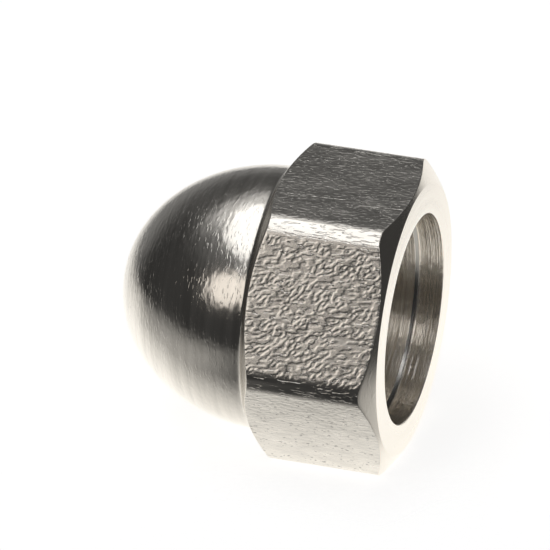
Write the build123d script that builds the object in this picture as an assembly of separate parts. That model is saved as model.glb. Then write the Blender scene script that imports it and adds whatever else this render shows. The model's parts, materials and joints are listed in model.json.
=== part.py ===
from build123d import *
import math
import os

# Domed cap nut, turned from hexagon bar and drilled and bored from its open end.
# Lengths are in millimetres and angles in degrees. The thread's axis is X: the open end faces +X, with the
# centre of its bearing face at the origin, and the dome points to -X. The nut lies on one flat, with the
# opposite flat facing +Z.

# Hexagon bar
across_flats = 17.0
bar_corner_radius = 1.5

# Lengths along the axis, from the bearing face
hex_length = 8.5
total_length = 18.0

# Turned outside
face_inset = 0.25
face_chamfer_angle = 30.0
dome_inset = 0.5
shoulder_chamfer_angle = 30.0
shoulder_fillet = 0.25

# Blind threaded bore: a plain recess at the mouth, a plain entry that clears the screw, then a fine thread
hex_wall = 2.5
thread_pitch = 1.0
thread_height_share = 1.0825
recess_clearance = 0.4
recess_depth = 1.5
entry_clearance = 0.15
entry_chamfer = 0.12
entry_chamfer_angle = 30.0
entry_depth = 3.2
mouth_break = 0.05
crown_thickness = 2.2
drill_point_angle = 118.0

# How far cutting shapes run past the material
overrun = 1.0

face_radius = across_flats / 2 - face_inset
dome_radius = across_flats / 2 - dome_inset
dome_length = total_length - hex_length
thread_diameter = across_flats - 2 * hex_wall
recess_radius = thread_diameter / 2 + recess_clearance
entry_radius = thread_diameter / 2 + entry_clearance
entry_chamfer_length = entry_chamfer / math.tan(math.radians(entry_chamfer_angle))
bore_radius = (thread_diameter - thread_height_share * thread_pitch) / 2
thread_lead_in = entry_radius - bore_radius
drill_point_length = bore_radius / math.tan(math.radians(drill_point_angle / 2))
drill_depth = total_length - crown_thickness - drill_point_length


def hexagon_bar():
    """The bar stock, with rounded corners, from the bearing face to the top of the dome."""
    hexagon = RegularPolygon(across_flats / 2, 6, major_radius=False)
    section = fillet(hexagon.vertices(), bar_corner_radius)
    return extrude(Plane.YZ * section, -total_length)


def turned_outside():
    """What the lathe leaves: bearing face, two chamfers that clip the hexagon's corners, and the dome."""
    clear_radius = across_flats / math.sqrt(3) + overrun
    face_chamfer = (clear_radius - face_radius) * math.tan(math.radians(face_chamfer_angle))
    shoulder_chamfer = (clear_radius - dome_radius) * math.tan(math.radians(shoulder_chamfer_angle))
    dome = EllipticalCenterArc((-hex_length, 0), dome_length, dome_radius, 90, arc_size=90)
    rest = Polyline(
        (-total_length, 0),
        (0, 0),
        (0, face_radius),
        (-face_chamfer, clear_radius),
        (-hex_length + shoulder_chamfer, clear_radius),
        (-hex_length, dome_radius),
    )
    outside = revolve(make_face(dome + rest), Axis.X)
    foot = outside.edges().sort_by_distance((-hex_length, 0, dome_radius))[0]
    return fillet(foot, shoulder_fillet)


def blind_bore():
    """The hole: broken mouth edge, recess, chamfered entry, lead-in, tapping bore and drill point."""
    profile = Polyline(
        (overrun, 0),
        (overrun, recess_radius + mouth_break + overrun),
        (-mouth_break, recess_radius),
        (-recess_depth, recess_radius),
        (-recess_depth, entry_radius + entry_chamfer),
        (-recess_depth - entry_chamfer_length, entry_radius),
        (-entry_depth, entry_radius),
        (-entry_depth - thread_lead_in, bore_radius),
        (-drill_depth, bore_radius),
        (-drill_depth - drill_point_length, 0),
        close=True,
    )
    return revolve(make_face(profile), Axis.X)


cap_nut = (hexagon_bar() & turned_outside()) - blind_bore()

os.makedirs("parts", exist_ok=True)
export_step(cap_nut, "parts/cap_nut.step")
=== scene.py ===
import json
import math

import bpy
import numpy as np
from mathutils import Matrix, Quaternion, Vector, noise


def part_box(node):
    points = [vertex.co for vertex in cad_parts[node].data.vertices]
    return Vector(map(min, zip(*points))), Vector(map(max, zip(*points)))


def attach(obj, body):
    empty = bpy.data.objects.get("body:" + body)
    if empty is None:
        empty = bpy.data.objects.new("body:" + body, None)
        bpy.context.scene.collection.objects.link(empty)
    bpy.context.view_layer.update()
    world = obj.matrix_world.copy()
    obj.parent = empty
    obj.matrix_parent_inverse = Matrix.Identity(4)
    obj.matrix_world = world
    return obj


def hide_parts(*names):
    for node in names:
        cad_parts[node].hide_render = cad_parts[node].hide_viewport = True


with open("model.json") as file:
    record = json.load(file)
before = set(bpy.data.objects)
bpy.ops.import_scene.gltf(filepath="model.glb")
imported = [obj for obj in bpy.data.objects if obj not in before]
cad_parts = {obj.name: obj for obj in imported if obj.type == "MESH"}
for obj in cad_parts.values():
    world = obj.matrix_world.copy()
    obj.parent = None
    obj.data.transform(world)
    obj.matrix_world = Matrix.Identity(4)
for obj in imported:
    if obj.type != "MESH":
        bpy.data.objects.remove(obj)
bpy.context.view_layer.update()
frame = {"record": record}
node_low, node_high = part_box("cap_nut")
mounts = {mount["name"]: mount for mount in frame["record"]["mounts"]}

# Domed cap nut in machined stainless steel, lying on one flat in a small dark studio with a white floor.
# Lengths are in metres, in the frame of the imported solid: the thread's axis is X, the mouth faces +X and the
# nut lies on the flat that faces -Z.
MM = 0.001

# Sizes of the nut: the outside from the solid's box, the bore from the mounts
half_flats = node_high.z
half_corners = min(node_high.y, -node_low.y)
total_length = -node_low.x
bore_radius = mounts["thread"]["dims"]["r_mm"] * MM
recess_radius = mounts["mouth_recess"]["dims"]["r_mm"] * MM
entry_radius = mounts["entry_bore"]["dims"]["r_mm"] * MM

# Sizes of the nut that follow the solid's source
hex_length = 8.5 * MM
face_inset = 0.25 * MM
face_slope = math.tan(math.radians(30))
dome_inset = 0.5 * MM
shoulder_angle = math.radians(30)
foot_fillet = 0.25 * MM
mouth_break = 0.05 * MM
recess_depth = 1.5 * MM
entry_chamfer = 0.12 * MM
entry_chamfer_angle = math.radians(30)
entry_depth = 3.2 * MM
crown_thickness = 2.2 * MM
drill_point_half_angle = math.radians(59)

# Thread: pitch, depth of the groove and the shares of the pitch that its crest and root take
thread_pitch = 1.0 * MM
thread_depth = 0.541 * MM
thread_crest_share = 0.25
thread_root_share = 0.125
thread_phase_share = 0.35

# What follows from these sizes
CORNER_REACH = 2 / math.sqrt(3)
face_radius = half_flats - face_inset
dome_radius = half_flats - dome_inset
dome_length = total_length - hex_length
shoulder_slope = math.tan(shoulder_angle)
corner_radius = (half_corners - half_flats * CORNER_REACH) / (1 - CORNER_REACH)
entry_chamfer_length = entry_chamfer / math.tan(entry_chamfer_angle)
thread_start = entry_depth + entry_radius - bore_radius
drill_end = total_length - crown_thickness
drill_depth = drill_end - bore_radius / math.tan(drill_point_half_angle)

# How far sharp edges are broken, and how far from its sides a flat gets its full skin
outer_edge = 0.06 * MM
inner_edge = 0.04 * MM
skin_margin = 4 * outer_edge

# Skin of the drawn bar on the flats: depth, length and width of the dimples, the dimension, lacunarity and
# octaves of their noise, and the rows at each end over which they fade
skin_depth = 0.005 * MM
skin_length = 0.85 * MM
skin_width = 0.6 * MM
SKIN_NOISE = (0.9, 2.1, 2)
SKIN_FADE_ROWS = 4

# Mesh steps: round the hexagon, along the outside and along the bore from the mouth to the drill point
FLAT_STEPS = 62
CORNER_STEPS = 10
CORNER_MARGIN = 2
SKIP = 3
EDGE_STEPS = 4
FACE_ROWS = 4
CHAMFER_ROWS = 6
HEX_ROWS = 58
SHOULDER_ROWS = 4
DOME_ROWS = 104
BORE_STEPS = (4, 3, 8, 3, 3, 10, 12, 138, 12)

# Finishes of the nut, in the order of its materials
FLATS, CORNERS, TURNED, FACED, BORE, ENTRY = range(6)

# Colours of the steel, as a dark and a light tone, and the painted shade of the entry chamfer
STEEL = ((0.68, 0.65, 0.60), (0.82, 0.785, 0.73))
DRAWN = ((0.74, 0.71, 0.66), (0.88, 0.845, 0.785))
FRESH = ((0.83, 0.785, 0.715), (0.90, 0.855, 0.785))
# Painted shade: dark tones for the entry chamfer, the step at the bottom of the mouth's recess, for the shade
# that falls there
PAINTED_SHADE_TONES = ((0.30, 0.29, 0.27), (0.42, 0.41, 0.39))
PIT_COLOUR = (0.45, 0.43, 0.40)

# Marks on the flats: width and length, for strokes also their climb in degrees, and the range of the noise
# that makes them
CLIMBING_STROKES = (0.23 * MM, 0.34 * MM, 42)
LEVEL_STROKES = (0.20 * MM, 0.44 * MM, 5)
STROKE_RANGE = (0.34, 0.66)
STROKE_PATCHES = (0.8 * MM, 1.2 * MM)
STROKE_PATCH_RANGE = (0.4, 0.6)
FLAT_GRAIN = (0.12 * MM, 0.3 * MM)
FLAT_PITS = (0.15 * MM, 0.3 * MM)
FLAT_PIT_RANGE = (0.66, 0.74)
FLAT_SHADES = (0.8 * MM, 2 * MM)
FLAT_SHADE_RANGE = (0.35, 0.65)

# Two scratches on the top flat, each from one (x, y) to another, with the gaps that break them
TOP_SCRATCHES = (((-7.4 * MM, -1.71 * MM), (-3.9 * MM, -1.51 * MM)),
                 ((-3.4 * MM, -1.96 * MM), (-0.3 * MM, -1.64 * MM)))
SCRATCH_HALF_WIDTH = 0.04 * MM
SCRATCH_GAPS = (3 * MM, 0.4 * MM)
SCRATCH_GAP_RANGE = (0.38, 0.6)
TOP_SHARE = 0.98

# Marks on the corners and on turned steel
CORNER_LINES = (0.12 * MM, 3 * MM)
CORNER_DASHES = (0.14 * MM, 0.7 * MM)
CORNER_DASH_RANGE = (0.56, 0.67)
CORNER_SHADES = (0.5 * MM, 3 * MM)
TURNED_RING_LENGTH = 40 * MM
TURNED_SWELLS = (0.32 * MM, 0.45 * MM)
TURNED_DASHES = (0.16 * MM, 0.5 * MM)
TURNED_DASH_RANGE = (0.58, 0.70)
TURNED_SHADES = (0.6 * MM, 10 * MM)
SHADE_RANGE = (0.3, 0.7)

# Depths of the marks, and the range of roughness on the drawn bar
STROKE_DEPTH = 0.009 * MM
GRAIN_DEPTH = 0.002 * MM
PIT_DEPTH = 0.02 * MM
SCRATCH_DEPTH = 0.012 * MM
CORNER_LINE_DEPTH = 0.008 * MM
CORNER_DASH_DEPTH = 0.02 * MM
FLAT_ROUGH = (0.20, 0.28)
CORNER_ROUGH = (0.15, 0.25)

# Turned finishes: feed, depths of rings, swells and dashes, range of roughness, and tones; the entry chamfer's
# dark tones are painted shade
TURNED_FINISHES = (
    ("turned_dome", 0.25 * MM, 0.003 * MM, 0.009 * MM, 0.004 * MM, (0.14, 0.20), STEEL),
    ("faced_end", 0.25 * MM, 0.002 * MM, 0, 0.002 * MM, (0.2, 0.3), FRESH),
    ("threaded_bore", 0.04 * MM, 0.031 * MM, 0.02 * MM, 0.004 * MM, (0.14, 0.22), FRESH),
    # The entry chamfer is painted dark, as painted shade at the step deep in the mouth
    ("entry_chamfer", 0.25 * MM, 0.002 * MM, 0, 0.002 * MM, (0.2, 0.3), PAINTED_SHADE_TONES),
)

# Camera and studio: azimuths are from the camera, to its left when negative, and elevations from the horizon
CAMERA_AZIMUTH = 17.03
CAMERA_ELEVATION = 31.44
CAMERA_ROLL = -0.275
CAMERA_DISTANCE = 0.418
CAMERA_LENS_MM = 455.4
CAMERA_SENSOR_MM = 36
AIM_LEFT = 0.693 * MM
AIM_UP = 1.457 * MM
AIM_POINT = Vector((-8 * MM, 0, 0))

# Lamps: name, azimuth, elevation, half angles across and up, radiance and colour
WHITE = (1, 1, 1)
LAMP_DISTANCE = 0.6
LAMPS = (
    ("overhead_light", -103, 75, 26.5, 18.5, 1.4, WHITE),
    ("strip_light", -30, 53, 10, 10, 1.6, WHITE),
    ("right_light", 79, 51, 13, 4.5, 2.8, WHITE),
    ("round_light", -47.8, 29.5, 12.8, 13.5, 1.15, (1, 0.94, 0.88)),
    ("side_light", 23.5, 39.6, 11, 11, 2.4, (1, 0.97, 0.93)),
)

# Floor: its half size and gap under the nut, and its glow to the camera and in the metal
FLOOR_HALF = 0.16
FLOOR_GAP = 0.01 * MM
FLOOR_COLOUR = (0.5, 0.495, 0.49)
FLOOR_ROUGH = 0.9
FLOOR_SPECULAR = 0.1
FLOOR_SEEN_GLOW = 0.80
FLOOR_MIRRORED_GLOW = 0.99
FLOOR_MIRRORED_COLOUR = (1, 0.985, 0.945)

# Where the floor fades, each from clear to full or as named. Its near edge slants back to the left and
# steps back on the right, and on the dome's side a share of it reaches further out. Its right edge spreads
# towards the back.
NEAR_FADE = (-16 * MM, -3.5 * MM)
NEAR_SLANT_SPAN = (-31 * MM, -14 * MM)
NEAR_SLANT_SHARE = 0.3
NEAR_SLANT_OFFSET = 3.3 * MM
NEAR_STEP_SPAN = (0.5 * MM, 4 * MM)
NEAR_STEP = -3.9 * MM
FAR_FADE = (-42 * MM, -6 * MM)
FAR_SPAN = (-7 * MM, -22 * MM)
FAR_SHARE = 0.38
RIGHT_FADE = (24 * MM, 8 * MM)
RIGHT_SPREAD_START = 32 * MM
RIGHT_SPREAD_SHARE = 0.6
LEFT_FADE = (-72 * MM, -26 * MM)
BACK_FADE = (155 * MM, 100 * MM)
BACK_DIM_SPAN = (8 * MM, 40 * MM)
BACK_DIM_LEVELS = (1.0, 0.85)

# Walls: a dark sphere with a soft glow overhead and at the back. Heights and reaches are shares of its
# radius.
WALL_RADIUS = 1.2
WALL_SEGMENTS = 48
WALL_RINGS = 24
WALL_COLOUR = (0.03, 0.03, 0.03)
WALL_GLOW = 0.036
TOP_GLOW = 0.08
TOP_HEIGHT_SHARES = (0.45, 0.8)
REAR_AZIMUTH = -175
REAR_REACH_SHARES = (0.5, 0.9)
REAR_GLOW = 0.045
REAR_LOW_GLOW = 0.13
REAR_LOW_HEIGHT_SHARES = (0.35, 0.0)
UPPER_AZIMUTH = -160
UPPER_REACH_SHARES = (0.35, 0.6)
UPPER_GLOW = 0.6
UPPER_HEIGHT_SHARES = (0.62, 0.8)


def hexagon_columns():
    """One row of points round the rounded hexagon: y, z, outward normal and how far into a flat."""
    points = []
    centre = (half_flats - corner_radius) * CORNER_REACH
    flat_half = (half_flats - corner_radius) / math.sqrt(3)
    for side in range(6):
        corner = math.radians(60 * side)
        for step in range(CORNER_STEPS):
            normal = corner + math.radians(-30 + 60 * step / CORNER_STEPS)
            y = centre * math.cos(corner) + corner_radius * math.cos(normal)
            z = centre * math.sin(corner) + corner_radius * math.sin(normal)
            points.append((y, z, math.cos(normal), math.sin(normal), 0.0))
        normal = corner + math.radians(30)
        for step in range(FLAT_STEPS):
            along = -flat_half + 2 * flat_half * step / FLAT_STEPS
            y = half_flats * math.cos(normal) - along * math.sin(normal)
            z = half_flats * math.sin(normal) + along * math.cos(normal)
            into = min(1.0, (flat_half - abs(along)) / skin_margin)
            points.append((y, z, math.cos(normal), math.sin(normal), into))
    return np.array(points).T


def straight(start, end, steps):
    """Points after start and before end, on a line in the (x, r) plane of each column."""
    shares = np.arange(1, steps)[:, None] / steps
    return [tuple(a + (b - a) * share for a, b in zip(start, end)) for share in shares]


def rounded(before, corner, after, radius):
    """Points of the arc that breaks a corner of the profile, in each column."""
    def unit(p, q):
        dx, dr = q[0] - p[0], q[1] - p[1]
        length = np.hypot(dx, dr)
        return dx / length, dr / length

    ux, ur = unit(corner, before)
    vx, vr = unit(corner, after)
    half = np.arccos(np.clip(ux * vx + ur * vr, -1, 1)) / 2
    mx, mr = unit((0, 0), (ux + vx, ur + vr))
    cx = corner[0] + mx * radius / np.sin(half)
    cr = corner[1] + mr * radius / np.sin(half)
    reach = radius / np.tan(half)
    sx, sr = corner[0] + ux * reach - cx, corner[1] + ur * reach - cr
    ex, er = corner[0] + vx * reach - cx, corner[1] + vr * reach - cr
    points = []
    for step in range(EDGE_STEPS + 1):
        share = step / EDGE_STEPS
        px, pr = unit((0, 0), (sx + (ex - sx) * share, sr + (er - sr) * share))
        points.append((cx + px * radius, cr + pr * radius))
    return points


def outside_rows(radius):
    """Profile rows from the bearing face over the hexagon to the dome's foot, with the flats' row span."""
    face_inner = (0 * radius, 0 * radius + (recess_radius + face_radius) / 2)
    face_corner = (0 * radius, 0 * radius + face_radius)
    front = (-(radius - face_radius) * face_slope, radius)
    rear = (-hex_length + (radius - dome_radius) * shoulder_slope, radius)
    foot_r = dome_radius + foot_fillet * (1 - math.sin(shoulder_angle))
    foot_x = -hex_length + (foot_r - dome_radius) * shoulder_slope
    foot = (0 * radius + foot_x, 0 * radius + foot_r)
    break_face = rounded(face_inner, face_corner, front, outer_edge)
    break_front = rounded(face_corner, front, rear, outer_edge)
    break_rear = rounded(front, rear, foot, outer_edge)
    rows = [face_inner] + straight(face_inner, break_face[0], FACE_ROWS) + break_face
    rows += straight(break_face[-1], break_front[0], CHAMFER_ROWS) + break_front
    first = len(rows)
    rows += straight(break_front[-1], break_rear[0], HEX_ROWS)
    last = len(rows)
    rows += break_rear + straight(break_rear[-1], foot, SHOULDER_ROWS) + [foot]
    return rows, first, last


def dome_rows():
    """Profile points of the hollow fillet at the dome's foot and of the dome, without its top."""
    foot_rise = math.cos(shoulder_angle) - shoulder_slope * (1 - math.sin(shoulder_angle))
    centre_x = -hex_length - foot_fillet * foot_rise
    centre_r = dome_radius + foot_fillet
    start = math.pi / 2 - shoulder_angle
    rows = []
    for step in range(1, EDGE_STEPS + 1):
        turn = start * (1 - step / EDGE_STEPS)
        rows.append((centre_x + foot_fillet * math.sin(turn), centre_r - foot_fillet * math.cos(turn)))
    first = math.asin((-centre_x - hex_length) / dome_length)
    for step in range(1, DOME_ROWS):
        turn = first + (math.pi / 2 - first) * step / DOME_ROWS
        rows.append((-hex_length - dome_length * math.sin(turn), dome_radius * math.cos(turn)))
    return rows


def thread_cut(x, angle):
    """Radius of the right-hand thread's groove in the bore, which runs out before the drill point."""
    share = np.mod((x - thread_pitch * angle / (2 * math.pi)) / thread_pitch + thread_phase_share, 1)
    flank = (1 - thread_crest_share - thread_root_share) / 2
    depth = np.clip((thread_root_share / 2 + flank - np.abs(share - 0.5)) / flank, 0, 1)
    leave = np.clip((drill_depth - thread_pitch + x) / thread_pitch, 0, 1)
    return bore_radius + thread_depth * depth * leave


def bore_rows(angle):
    """Profile rows of the bore, from the mouth edge over recess, entry and thread to the drill point."""
    flat = 0 * angle
    profile = [(flat + x, flat + r) for x, r in (
        (0, face_radius), (0, recess_radius + mouth_break), (-mouth_break, recess_radius),
        (-recess_depth, recess_radius), (-recess_depth, entry_radius + entry_chamfer),
        (-recess_depth - entry_chamfer_length, entry_radius), (-entry_depth, entry_radius),
        (-thread_start, bore_radius), (-drill_depth, bore_radius), (-drill_end, 0))]
    rows = []
    for index in range(1, len(profile) - 1):
        arc = rounded(profile[index - 1], profile[index], profile[index + 1], inner_edge)
        if rows:
            rows += straight(rows[-1], arc[0], BORE_STEPS[index - 1])
        rows += arc
    rows += straight(rows[-1], profile[-1], BORE_STEPS[-1])
    cut = []
    for x, r in rows:
        threaded = entry_depth < -x[0] < drill_depth
        cut.append((x, np.maximum(r, thread_cut(x, angle)) if threaded else r))
    return cut


class Skin:
    """Collects rings of points and the faces between them."""

    def __init__(self):
        self.points, self.faces, self.zones = [], [], []

    def ring(self, x, y, z):
        first = len(self.points)
        self.points += list(zip(np.broadcast_to(x, np.shape(y)), y, z))
        return list(range(first, len(self.points)))

    def add(self, zone, *faces):
        self.faces += faces
        self.zones += [zone] * len(faces)

    def join(self, zone, a, b):
        """Quads between two rings of as many points, where a lies on the mouth's side on the outside."""
        n = len(a)
        self.add(zone, *[(a[i], a[(i + 1) % n], b[(i + 1) % n], b[i]) for i in range(n)])

    def thin_out(self, zone, a, b, flip):
        """Triangles between a ring and one with a third of its points."""
        n, m = len(a), len(b)
        for j in range(m):
            p = [a[(SKIP * j + k) % n] for k in range(SKIP + 1)]
            q, r = b[j], b[(j + 1) % m]
            made = [(p[0], p[1], q), (p[1], p[2], q), (q, p[2], r), (p[2], p[3], r)]
            self.add(zone, *[face[::-1] if flip else face for face in made])

    def close(self, zone, ring, tip, flip):
        """A fan from a ring to one point."""
        self.points.append(tip)
        last, n = len(self.points) - 1, len(ring)
        made = [(ring[i], ring[(i + 1) % n], last) for i in range(n)]
        self.add(zone, *[face[::-1] if flip else face for face in made])


def dimples(x, y, z):
    """Depth of the bar's skin under the flat, from 0 to 1, in soft hollows drawn out along the axis."""
    p = Vector((x / skin_length, y / skin_width, z / skin_width))
    return min(1.0, max(0.0, 0.5 + noise.fractal(p, *SKIN_NOISE)))


def nut_mesh():
    """The whole surface of the nut as one closed mesh."""
    skin = Skin()
    y, z, ny, nz, into = hexagon_columns()
    radius, angle = np.hypot(y, z), np.arctan2(z, y)
    cos, sin = y / radius, z / radius
    thin = slice(None, None, SKIP)
    rows, first, last = outside_rows(radius)
    rings = []
    for index, (x, r) in enumerate(rows):
        py, pz = r * cos, r * sin
        if first <= index < last:
            fade = min(1.0, (index - first + 1) / SKIN_FADE_ROWS, (last - index) / SKIN_FADE_ROWS)
            sunk = np.array([dimples(*p) for p in zip(x, py, pz)]) * skin_depth * into * fade
            py, pz = py - ny * sunk, pz - nz * sunk
        rings.append(skin.ring(x, py, pz))
    for index in range(len(rings) - 1):
        bar = first - EDGE_STEPS // 2 <= index + 1 <= last + EDGE_STEPS // 2
        start = len(skin.zones)
        skin.join(FLATS if bar else FACED, rings[index], rings[index + 1])
        for column in range(len(y) if bar else 0):
            if CORNER_MARGIN <= column % (FLAT_STEPS + CORNER_STEPS) < CORNER_STEPS:
                skin.zones[start + column] = CORNERS
    previous = None
    for x, r in dome_rows():
        ring = skin.ring(x, r * cos[thin], r * sin[thin])
        if previous is None:
            skin.thin_out(FACED, rings[-1], ring, False)
        else:
            skin.join(TURNED, previous, ring)
        previous = ring
    skin.close(TURNED, previous, (-total_length, 0, 0), False)
    previous = None
    for x, r in bore_rows(angle[thin]):
        ring = skin.ring(x, r * cos[thin], r * sin[thin])
        if previous is None:
            skin.thin_out(FACED, rings[0], ring, True)
        else:
            chamfer = recess_depth < -x[0] <= recess_depth + entry_chamfer_length
            skin.join(ENTRY if chamfer else BORE, ring, previous)
        previous = ring
    skin.close(BORE, previous, (-drill_end, 0, 0), True)
    mesh = bpy.data.meshes.new("nut_skin")
    mesh.from_pydata(skin.points, [], skin.faces)
    mesh.polygons.foreach_set("material_index", skin.zones)
    mesh.polygons.foreach_set("use_smooth", [True] * len(skin.faces))
    mesh.validate()
    return mesh


class Nodes:
    """Short hand for building one material's nodes."""

    def __init__(self, name):
        self.material = bpy.data.materials.new(name)
        self.material.use_nodes = True
        self.tree = self.material.node_tree
        self.shader = self.tree.nodes["Principled BSDF"]

    def make(self, kind, inputs=(), **settings):
        node = self.tree.nodes.new(kind)
        for key, value in settings.items():
            setattr(node, key, value)
        for socket, value in dict(inputs).items():
            self.put(node.inputs[socket], value)
        return node

    def put(self, socket, value):
        if isinstance(value, bpy.types.NodeSocket):
            self.tree.links.new(value, socket)
        else:
            socket.default_value = value

    def maths(self, operation, *values):
        node = self.make("ShaderNodeMath", operation=operation)
        for socket, value in zip(node.inputs, values):
            self.put(socket, value)
        return node.outputs[0]

    def product(self, first, *others):
        for other in others:
            first = self.maths("MULTIPLY", first, other)
        return first

    def place(self):
        """Coordinates on the object itself."""
        return self.make("ShaderNodeTexCoord").outputs["Object"]

    def xyz(self):
        return self.make("ShaderNodeSeparateXYZ", {"Vector": self.place()}).outputs

    def stretched(self, across, along):
        """Coordinates for marks along the axis: across and along are the marks' width and length."""
        node = self.make("ShaderNodeMapping", {"Vector": self.place()})
        node.inputs["Scale"].default_value = (1 / along, 1 / across, 1 / across)
        return node.outputs[0]

    def slanted(self, across, along, climb):
        """Coordinates for marks that climb a side flat at an angle to the axis, in degrees."""
        node = self.make("ShaderNodeMapping", {"Vector": self.place()}, vector_type="TEXTURE")
        turn = Matrix.Rotation(math.radians(60), 3, "X") @ Matrix.Rotation(math.radians(climb), 3, "Z")
        node.inputs["Rotation"].default_value = turn.to_euler()
        node.inputs["Scale"].default_value = (along, across, across)
        return node.outputs[0]

    def turned(self, across, along):
        """Coordinates for marks round the axis: across and along are the marks' width and length."""
        x, y, z = self.xyz()
        reach = self.maths("SQRT", self.maths("ADD", self.product(y, y), self.product(z, z)))
        course = self.maths("ADD", reach, x)
        parts = [self.maths("DIVIDE", course, across)]
        parts += [self.maths("DIVIDE", side, along) for side in (y, z)]
        return self.make("ShaderNodeCombineXYZ", dict(zip("XYZ", parts))).outputs[0]

    def noise(self, place, detail=2.0, rough=0.5):
        inputs = {"Vector": place, "Scale": 1.0, "Detail": detail, "Roughness": rough}
        return self.make("ShaderNodeTexNoise", inputs).outputs["Fac"]

    def ramp(self, value, low, high, to_low=0.0, to_high=1.0):
        inputs = {"Value": value, "From Min": low, "From Max": high, "To Min": to_low, "To Max": to_high}
        return self.make("ShaderNodeMapRange", inputs).outputs[0]

    def soft(self, value, low, high):
        """A soft step from 0 at low to 1 at high, where low may be the larger."""
        node = self.make("ShaderNodeMapRange", {"Value": value}, interpolation_type="SMOOTHSTEP")
        limits = (low, high, 0.0, 1.0) if high > low else (high, low, 1.0, 0.0)
        for socket, limit in zip(("From Min", "From Max", "To Min", "To Max"), limits):
            self.put(node.inputs[socket], limit)
        return node.outputs[0]

    def scratch_on_top(self, start, end):
        """A thin broken line on the top flat between two (x, y), as a height from 1 down to 0 in the line."""
        x, y, z = self.xyz()
        slope = (end[1] - start[1]) / (end[0] - start[0])
        course = self.maths("MULTIPLY_ADD", x, slope, start[1] - slope * start[0])
        away = self.maths("ABSOLUTE", self.maths("SUBTRACT", y, course))
        line = self.ramp(away, 0.0, SCRATCH_HALF_WIDTH, 1.0, 0.0)
        unbroken = self.ramp(self.noise(self.stretched(*SCRATCH_GAPS)), *SCRATCH_GAP_RANGE)
        on_top = self.maths("GREATER_THAN", z, TOP_SHARE * half_flats)
        begun = self.maths("GREATER_THAN", x, start[0])
        going = self.maths("LESS_THAN", x, end[0])
        return self.maths("SUBTRACT", 1.0, self.product(line, on_top, unbroken, begun, going))

    def bump(self, height, depth, below=None):
        inputs = {"Height": height, "Distance": depth, "Strength": 1.0}
        if below is not None:
            inputs["Normal"] = below
        return self.make("ShaderNodeBump", inputs).outputs[0]

    def tones(self, value, dark, light):
        node = self.make("ShaderNodeMix", data_type="RGBA")
        self.put(node.inputs["Factor"], value)
        for socket, tone in ((node.inputs["A"], dark), (node.inputs["B"], light)):
            self.put(socket, (*tone, 1) if isinstance(tone, tuple) else tone)
        return node.outputs["Result"]

    def steel(self, colour, rough, normal):
        self.shader.inputs["Metallic"].default_value = 1.0
        self.put(self.shader.inputs["Base Color"], colour)
        self.put(self.shader.inputs["Roughness"], rough)
        self.put(self.shader.inputs["Normal"], normal)
        return self.material

    def matt(self, colour, rough, specular):
        self.shader.inputs["Base Color"].default_value = (*colour, 1)
        self.shader.inputs["Roughness"].default_value = rough
        self.shader.inputs["Specular IOR Level"].default_value = specular

    def glow(self, colour, strength):
        self.put(self.shader.inputs["Emission Color"], (*colour, 1) if isinstance(colour, tuple) else colour)
        self.put(self.shader.inputs["Emission Strength"], strength)


def drawn_flats():
    """Skin of the bar's flats: a crinkle of short raised strokes, fine lines and small pits."""
    n = Nodes("drawn_flats")
    climbing = n.noise(n.slanted(*CLIMBING_STROKES), detail=0.0)
    level = n.noise(n.slanted(*LEVEL_STROKES), detail=0.0)
    patches = n.soft(n.noise(n.stretched(*STROKE_PATCHES), detail=0.0), *STROKE_PATCH_RANGE)
    crinkle = n.maths("MULTIPLY_ADD", n.maths("SUBTRACT", level, climbing), patches, climbing)
    stroke = n.soft(crinkle, *STROKE_RANGE)
    grain = n.noise(n.stretched(*FLAT_GRAIN), rough=0.6)
    pit = n.ramp(n.noise(n.stretched(*FLAT_PITS), detail=1.0), *FLAT_PIT_RANGE)
    normal = n.bump(stroke, STROKE_DEPTH)
    normal = n.bump(grain, GRAIN_DEPTH, normal)
    normal = n.bump(n.maths("SUBTRACT", 1.0, pit), PIT_DEPTH, normal)
    for start, end in TOP_SCRATCHES:
        normal = n.bump(n.scratch_on_top(start, end), SCRATCH_DEPTH, normal)
    shade = n.noise(n.stretched(*FLAT_SHADES), detail=3.0)
    colour = n.tones(n.ramp(shade, *FLAT_SHADE_RANGE), *DRAWN)
    colour = n.tones(pit, colour, PIT_COLOUR)
    return n.steel(colour, n.ramp(shade, *SHADE_RANGE, *FLAT_ROUGH), normal)


def drawn_corners():
    """The bar's rounded corners: smoother than its flats, with lines and dashes along the axis."""
    n = Nodes("drawn_corners")
    line = n.noise(n.stretched(*CORNER_LINES), rough=0.6)
    dash = n.ramp(n.noise(n.stretched(*CORNER_DASHES), detail=1.0), *CORNER_DASH_RANGE)
    normal = n.bump(line, CORNER_LINE_DEPTH)
    normal = n.bump(n.maths("SUBTRACT", 1.0, dash), CORNER_DASH_DEPTH, normal)
    shade = n.noise(n.stretched(*CORNER_SHADES), detail=3.0)
    colour = n.tones(n.ramp(shade, *SHADE_RANGE), *STEEL)
    return n.steel(colour, n.ramp(shade, *SHADE_RANGE, *CORNER_ROUGH), normal)


def turned_steel(name, feed, ring_depth, swell_depth, dash_depth, rough, tones):
    """Lathe-turned steel: rings round the axis, soft swells and short dashes."""
    n = Nodes(name)
    rings = n.noise(n.turned(feed, TURNED_RING_LENGTH), rough=0.6)
    swells = n.noise(n.turned(*TURNED_SWELLS), detail=0.0)
    dashes = n.soft(n.noise(n.turned(*TURNED_DASHES), detail=1.0), *TURNED_DASH_RANGE)
    normal = n.bump(rings, ring_depth)
    normal = n.bump(swells, swell_depth, normal)
    normal = n.bump(dashes, dash_depth, normal)
    shade = n.noise(n.turned(*TURNED_SHADES), detail=3.0)
    colour = n.tones(n.ramp(shade, *SHADE_RANGE), *tones)
    return n.steel(colour, n.ramp(shade, *SHADE_RANGE, *rough), normal)


def add_to_scene(name, data):
    thing = bpy.data.objects.new(name, data)
    bpy.context.scene.collection.objects.link(thing)
    return thing


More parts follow.
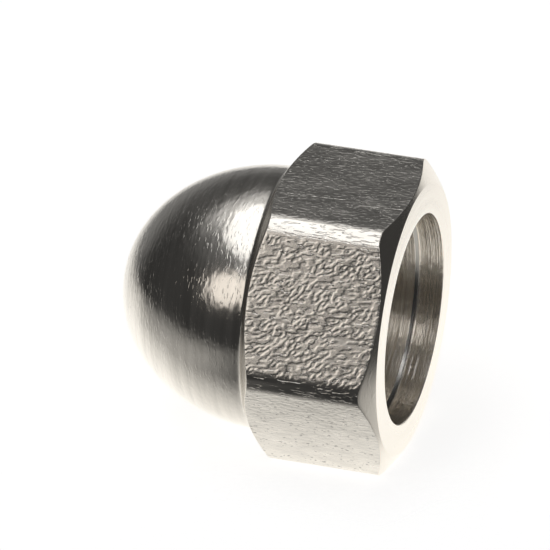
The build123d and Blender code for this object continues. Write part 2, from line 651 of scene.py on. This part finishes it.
def make_nut():
    nut = add_to_scene("cap_nut_finish", nut_mesh())
    nut.data.materials.append(drawn_flats())
    nut.data.materials.append(drawn_corners())
    for finish in TURNED_FINISHES:
        nut.data.materials.append(turned_steel(*finish))
    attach(nut, "root")
    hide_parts("cap_nut")


def direction(azimuth, elevation):
    """Unit vector from the nut, with azimuth counted from the camera's."""
    a, e = math.radians(CAMERA_AZIMUTH + azimuth), math.radians(elevation)
    return Vector((math.sin(a) * math.cos(e), -math.cos(a) * math.cos(e), math.sin(e)))


def make_camera():
    data = bpy.data.cameras.new("camera")
    data.lens = CAMERA_LENS_MM
    data.sensor_width = CAMERA_SENSOR_MM
    camera = add_to_scene("camera", data)
    back = direction(0, CAMERA_ELEVATION)
    right = Vector((0, 0, 1)).cross(back).normalized()
    right.rotate(Quaternion(back, math.radians(CAMERA_ROLL)))
    up = back.cross(right)
    camera.location = AIM_POINT - right * AIM_LEFT + up * AIM_UP + back * CAMERA_DISTANCE
    camera.rotation_euler = Matrix((right, up, back)).transposed().to_euler()
    bpy.context.scene.camera = camera


def softbox(name, azimuth, elevation, half_wide, half_high, radiance, colour):
    """An oval lamp of an even radiance, with the half angles that it spans seen from the nut."""
    data = bpy.data.lights.new(name, "AREA")
    data.shape = "ELLIPSE"
    data.size = 2 * LAMP_DISTANCE * math.tan(math.radians(half_wide))
    data.size_y = 2 * LAMP_DISTANCE * math.tan(math.radians(half_high))
    data.energy = radiance * math.pi * data.size * data.size_y * math.pi / 4
    data.color = colour
    lamp = add_to_scene(name, data)
    way = direction(azimuth, elevation)
    lamp.location = AIM_POINT + way * LAMP_DISTANCE
    lamp.rotation_euler = (-way).to_track_quat("-Z", "Y").to_euler()
    lamp.visible_camera = False


def make_floor():
    """A white floor that fades out a little way from the nut."""
    mesh = bpy.data.meshes.new("floor")
    height = node_low.z - FLOOR_GAP
    corners = [(sx * FLOOR_HALF, sy * FLOOR_HALF, height) for sx, sy in ((-1, -1), (1, -1), (1, 1), (-1, 1))]
    mesh.from_pydata(corners, [], [(0, 1, 2, 3)])
    floor = add_to_scene("floor", mesh)
    n = Nodes("white_floor")
    n.matt(FLOOR_COLOUR, FLOOR_ROUGH, FLOOR_SPECULAR)
    rays = n.make("ShaderNodeLightPath").outputs
    mirrored = rays["Is Glossy Ray"]
    seen = n.maths("ADD", rays["Is Camera Ray"], rays["Is Transmission Ray"])
    strength = n.maths("MULTIPLY_ADD", mirrored, FLOOR_MIRRORED_GLOW, n.product(seen, FLOOR_SEEN_GLOW))
    n.glow(n.tones(mirrored, WHITE, FLOOR_MIRRORED_COLOUR), strength)
    x, y, _ = n.xyz()
    left_end, left_start = NEAR_SLANT_SPAN
    left = n.maths("MINIMUM", n.maths("MAXIMUM", x, left_end), left_start)
    slant = n.maths("ADD", n.maths("MULTIPLY_ADD", left, NEAR_SLANT_SHARE, y), NEAR_SLANT_OFFSET)
    slant = n.maths("MULTIPLY_ADD", n.soft(x, *NEAR_STEP_SPAN), NEAR_STEP, slant)
    near = n.soft(slant, *NEAR_FADE)
    far = n.soft(y, *FAR_FADE)
    share = n.product(n.soft(x, *FAR_SPAN), FAR_SHARE)
    front = n.maths("MULTIPLY_ADD", n.maths("SUBTRACT", far, near), share, near)
    back = n.maths("MAXIMUM", n.maths("SUBTRACT", y, RIGHT_SPREAD_START), 0.0)
    aside = n.maths("MULTIPLY_ADD", back, -RIGHT_SPREAD_SHARE, x)
    fade = n.product(front, n.soft(aside, *RIGHT_FADE), n.ramp(x, *LEFT_FADE), n.soft(y, *BACK_FADE),
                     n.ramp(y, *BACK_DIM_SPAN, *BACK_DIM_LEVELS))
    n.put(n.shader.inputs["Alpha"], fade)
    mesh.materials.append(n.material)


def make_studio():
    """Dark walls round the floor, which the metal shows and the camera looks past to a white background."""
    bpy.ops.mesh.primitive_uv_sphere_add(segments=WALL_SEGMENTS, ring_count=WALL_RINGS, radius=WALL_RADIUS)
    walls = bpy.context.object
    walls.name = "studio_walls"
    n = Nodes("studio_walls")
    n.matt(WALL_COLOUR, 1.0, 0.0)
    place = n.place()
    height = n.make("ShaderNodeSeparateXYZ", {"Vector": place}).outputs[2]

    def step(value, shares):
        return n.soft(value, *[share * WALL_RADIUS for share in shares])

    def towards(azimuth, shares):
        reach = n.make("ShaderNodeVectorMath", {0: place}, operation="DOT_PRODUCT")
        reach.inputs[1].default_value = direction(azimuth, 0)
        return step(reach.outputs["Value"], shares)

    strength = n.maths("MULTIPLY_ADD", step(height, TOP_HEIGHT_SHARES), TOP_GLOW, WALL_GLOW)
    low = n.maths("MULTIPLY_ADD", step(height, REAR_LOW_HEIGHT_SHARES), REAR_LOW_GLOW, REAR_GLOW)
    strength = n.maths("MULTIPLY_ADD", towards(REAR_AZIMUTH, REAR_REACH_SHARES), low, strength)
    upper = n.product(towards(UPPER_AZIMUTH, UPPER_REACH_SHARES), step(height, UPPER_HEIGHT_SHARES))
    n.glow(WHITE, n.maths("MULTIPLY_ADD", upper, UPPER_GLOW, strength))
    walls.data.materials.append(n.material)
    walls.visible_camera = False
    walls.visible_shadow = False
    world = bpy.data.worlds.new("white")
    world.use_nodes = True
    world.node_tree.nodes["Background"].inputs["Color"].default_value = (*WHITE, 1)
    bpy.context.scene.world = world


make_nut()
make_floor()
make_studio()
make_camera()
for lamp in LAMPS:
    softbox(*lamp)
bpy.context.scene.view_settings.view_transform = "Standard"
